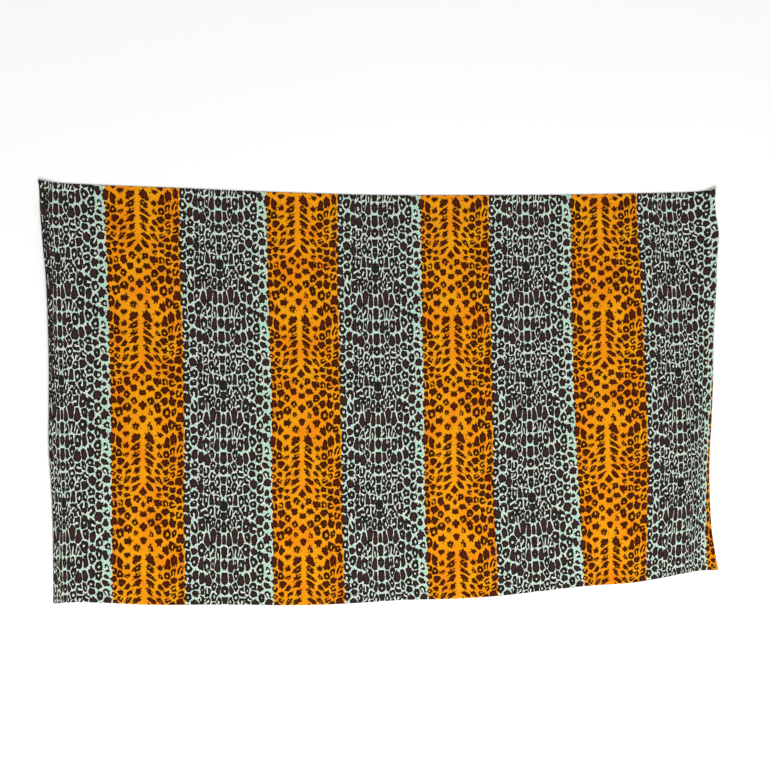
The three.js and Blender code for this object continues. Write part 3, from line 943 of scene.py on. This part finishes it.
def panel_bends(corners):
    """Which triangles of the panel are near an edge, or lifted off the floor."""
    u, v = corners[..., 0], corners[..., 1]
    inside = np.minimum.reduce([past(u, v) for past in EDGES])
    return (inside.min(axis=1) < BENDS_NEAR) | (lie(u, v)[..., 2].max(axis=1) > SHEET + BENDS_HIGH)


panel = cloth_piece("sarong_panel", panel_print, lie, panel_back, panel_bends)
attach(panel, "root")
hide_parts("panel")

# ------------------------------
# The hems.
# Each edge is turned under and stitched down: the print runs on round the fold and faces
# the floor. The short edges' hems lie inside the rolls, and the left one is turned twice.

HEM_FACE, HEM_BACK = 0.1 * MM, 0.95 * MM  # the turned layer's two sides above the floor
SIDE_SEAM = 2.4 * MM  # the right edge's hem starts this far inside it
CORNER_CLEARANCE = 34 * MM  # a long edge's hem stops this far from a short edge
SIDE_ENDS = 0.003, 0.997  # a short edge's hem runs between these shares of its edge


def hem_piece(name, node, lines, turned, dyed_at=HEM_FACE, bare_at=HEM_BACK):
    """A hem from the print within the lines; turned gives where that print is in plan."""
    corners = whole_print
    for past in lines:
        corners = trimmed(corners, past)

    def at(height):
        return lambda u, v: np.concatenate([turned(u, v), np.full((len(u), 1), height)], axis=1)

    piece = cloth_piece(name, corners, at(dyed_at), at(bare_at))
    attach(piece, "root")
    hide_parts(node)
    return piece


def beyond(past, depth):
    """The two lines of the band of print just past an edge."""
    return [lambda u, v: -past(u, v), lambda u, v: past(u, v) + depth]


def inside_short_edges(u, v):
    """Clear of the short edges' hems, so that the long edges' hems stop before them."""
    return np.minimum(past_left(u, v), past_right(u, v)) - CORNER_CLEARANCE


def long_turned(fold_end):
    """In plan, a long edge's hem runs back inward from where the fold has gone under."""
    inner = np.clip(fold_end, 0, CLOTH_TALL)
    return lambda u, v: lie(u, inner - (v - fold_end))[:, :2]


def left_turned(u, v):
    """In plan, the left hem is turned under twice: its selvedge is outermost, dyed side up."""
    up = np.clip(v / CLOTH_TALL, *SIDE_ENDS)
    inward = u - (PRINT_LEFT - SIDE_HEM_DEPTH)
    return left_edge(up) + np.stack([inward - peek(up), 0 * up], axis=1)


def right_turned(u, v):
    """In plan, the right hem runs inward from its seam, on the floor under the roll."""
    up = np.clip(v / CLOTH_TALL, *SIDE_ENDS)
    return right_edge(up) - np.stack([SIDE_SEAM + u - print_rim(up), 0 * up], axis=1)


inside_long_edges = [lambda u, v: v, lambda u, v: CLOTH_TALL - v]
hem_top = hem_piece(
    "sarong_hem_top", "hem_top",
    [inside_short_edges, *beyond(past_high, HEM_DEPTH)], long_turned(CLOTH_TALL + NOSE),
)
hem_bottom = hem_piece(
    "sarong_hem_bottom", "hem_bottom",
    [inside_short_edges, *beyond(past_low, HEM_DEPTH)], long_turned(-NOSE),
)
hem_left = hem_piece(
    "sarong_hem_left", "hem_left",
    [*beyond(past_left, SIDE_HEM_DEPTH), *inside_long_edges], left_turned,
    dyed_at=HEM_BACK, bare_at=HEM_FACE,
)
hem_right = hem_piece(
    "sarong_hem_right", "hem_right",
    [*beyond(past_right, SIDE_HEM_DEPTH), *inside_long_edges], right_turned,
)

# ------------------------------
# The stitches.
# One row of lockstitch in dark thread holds each hem, a little inside its raw edge. On
# the face they show as short dashes sunk into the cloth.

STITCH_LONG, STITCH_THICK, STITCH_PITCH = 2.3 * MM, 0.4 * MM, 3.1 * MM
LONG_ROW, SHORT_ROW = 8.5 * MM, 13 * MM  # from the edge to the row
ROW_INSET = 2 * MM  # a row stops this short of the edges that it runs to
ROW_POINTS = 500
STITCH_RISE = 0.05 * MM  # a stitch's middle above the printed face
THREAD_DARK, THREAD_LIGHT = srgb(34, 28, 24), srgb(70, 58, 50)
TONE_SCALE, TWIST_SCALE, TWIST_HIGH = 900.0, 2600.0, 0.05 * MM


def thread_material():
    material, tree, shader = new_material("dark cotton thread", roughness=0.7)
    place = add(tree, "ShaderNodeTexCoord").outputs["Object"]
    tree.links.new(mix(noise(place, TONE_SCALE), THREAD_DARK, THREAD_LIGHT), shader["Base Color"])
    relief(tree, shader, noise(place, TWIST_SCALE), TWIST_HIGH)
    return material


def stitch_tree(material):
    """Dashes of thread along a path, one every pitch, each a small ball drawn out."""
    inputs = {"Path": "Geometry", "Pitch": "Float", "Length": "Float", "Thickness": "Float"}
    tree, given, out = new_group("row of stitches", inputs, {"Stitches": "Geometry"}, "GeometryNodeTree")
    path, pitch, long, thick = given[:4]
    curve = then("GeometryNodeMeshToCurve", path)[0]
    even = then("GeometryNodeResampleCurve", curve, None, pitch, mode="LENGTH")[0]
    tangent = add(tree, "GeometryNodeInputTangent").outputs[0]
    along = then("FunctionNodeAlignRotationToVector", None, None, tangent, axis="X")[0]
    ball = add(tree, "GeometryNodeMeshIcoSphere", 0.5, 1).outputs["Mesh"]
    size = vector(long, thick, thick)
    dashes = then("GeometryNodeInstanceOnPoints", even, None, ball, None, None, along, size)[0]
    real = then("GeometryNodeRealizeInstances", dashes)[0]
    tree.links.new(then("GeometryNodeSetMaterial", real, None, material)[0], out["Stitches"])
    return tree


def stitch_rows():
    """The four paths on the printed face, as one mesh of lines."""
    share = np.linspace(0, 1, ROW_POINTS)
    rows = []
    for v in (LONG_ROW, CLOTH_TALL - LONG_ROW):
        start, end = PRINT_LEFT + ROW_INSET, print_rim(v / CLOTH_TALL) - ROW_INSET
        rows.append((start + (end - start) * share, np.full_like(share, v)))
    v = ROW_INSET + (CLOTH_TALL - 2 * ROW_INSET) * share
    rows.append((np.full_like(share, PRINT_LEFT + SHORT_ROW), v))
    rows.append((print_rim(v / CLOTH_TALL) - SHORT_ROW, v))
    points, lines = [], []
    for u, v in rows:
        first = len(points)
        points += (lie(u, v) + STITCH_RISE * face_normal(u, v)).tolist()
        lines += [(first + k, first + k + 1) for k in range(len(u) - 1)]
    mesh = bpy.data.meshes.new("stitch rows")
    mesh.from_pydata(points, lines, [])
    return mesh


rows = new_object("stitch rows", stitch_rows())
sewing = rows.modifiers.new("stitches", "NODES")
sewing.node_group = stitch_tree(thread_material())
sizes = {"Pitch": STITCH_PITCH, "Length": STITCH_LONG, "Thickness": STITCH_THICK}
for item in sewing.node_group.interface.items_tree:
    if item.name in sizes:
        sewing[item.identifier] = sizes[item.name]
sewn = rows.evaluated_get(bpy.context.evaluated_depsgraph_get())
stitch_mesh = bpy.data.meshes.new_from_object(sewn)
stitch_mesh.name = "sarong_stitches"
stitch_mesh.shade_smooth()
bpy.data.objects.remove(rows)
stitches = new_object("sarong_stitches", stitch_mesh)
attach(stitches, "root")

# ------------------------------
# The studio.
# A plain white floor, a wide soft light from beyond the near edge, and even fill. The
# camera looks down from a little to the left of the cloth's middle.

FLOOR_WIDE, PAPER_SCALE = 9, 2.0
PAPER, PAPER_LIGHT = srgb(251, 251, 251), srgb(253, 253, 253)

bpy.ops.mesh.primitive_plane_add(size=FLOOR_WIDE)
floor = bpy.context.object
floor.name = "floor"
paper, tree, shader = new_material("white paper floor", roughness=0.9, specular=0.1)
tone = noise(add(tree, "ShaderNodeTexCoord").outputs["Object"], PAPER_SCALE, detail=2.0)
tree.links.new(mix(tone, PAPER, PAPER_LIGHT), shader["Base Color"])
floor.data.materials.append(paper)

CAMERA_FAR = 2.6  # from the camera to the middle of what it sees
CAMERA_TURN = math.radians(8.3)  # off the upright, towards the left short edge
CAMERA_ROLL = math.radians(1.095)  # about its own line of sight
AIM = Vector((-0.0383, 0.0209, 0.0))
PICTURE_SIDE, METRE_SHOWN = 770, 371  # in pixels: the picture, and a metre of the cloth in it
SENSOR = 36

level = Vector((math.cos(CAMERA_ROLL), -math.sin(CAMERA_ROLL), 0))
upward = Vector((math.sin(CAMERA_ROLL), math.cos(CAMERA_ROLL), 0))
ahead = level * math.sin(CAMERA_TURN) - Vector((0, 0, math.cos(CAMERA_TURN)))
right = level * math.cos(CAMERA_TURN) + Vector((0, 0, math.sin(CAMERA_TURN)))
camera = new_object("camera", bpy.data.cameras.new("camera"))
facing = Matrix((right, upward, -ahead)).transposed().to_4x4()
camera.matrix_world = Matrix.Translation(AIM - ahead * CAMERA_FAR) @ facing
camera.data.sensor_width = SENSOR
camera.data.lens = SENSOR * CAMERA_FAR * METRE_SHOWN / PICTURE_SIDE
bpy.context.scene.camera = camera
bpy.context.scene.view_settings.view_transform = "Standard"

FILL = 0.70
LAMP_AT, LAMP_AIM = Vector((0.6, -4.2, 3.0)), Vector((0, 0.2, 0))
LAMP_WIDE, LAMP_SHAPE, LAMP_WATTS = 2.2, 0.6, 215

world = bpy.data.worlds.new("even fill")
bpy.context.scene.world = world
world.use_nodes = True
background = world.node_tree.nodes["Background"].inputs
background["Color"].default_value = (1, 1, 1, 1)
background["Strength"].default_value = FILL

light = bpy.data.lights.new("wide soft light", "AREA")
light.shape = "RECTANGLE"
light.size, light.size_y, light.energy = LAMP_WIDE, LAMP_WIDE * LAMP_SHAPE, LAMP_WATTS
lamp = new_object("wide soft light", light)
lamp.location = LAMP_AT
lamp.rotation_euler = (LAMP_AIM - LAMP_AT).to_track_quat("-Z", "Y").to_euler()
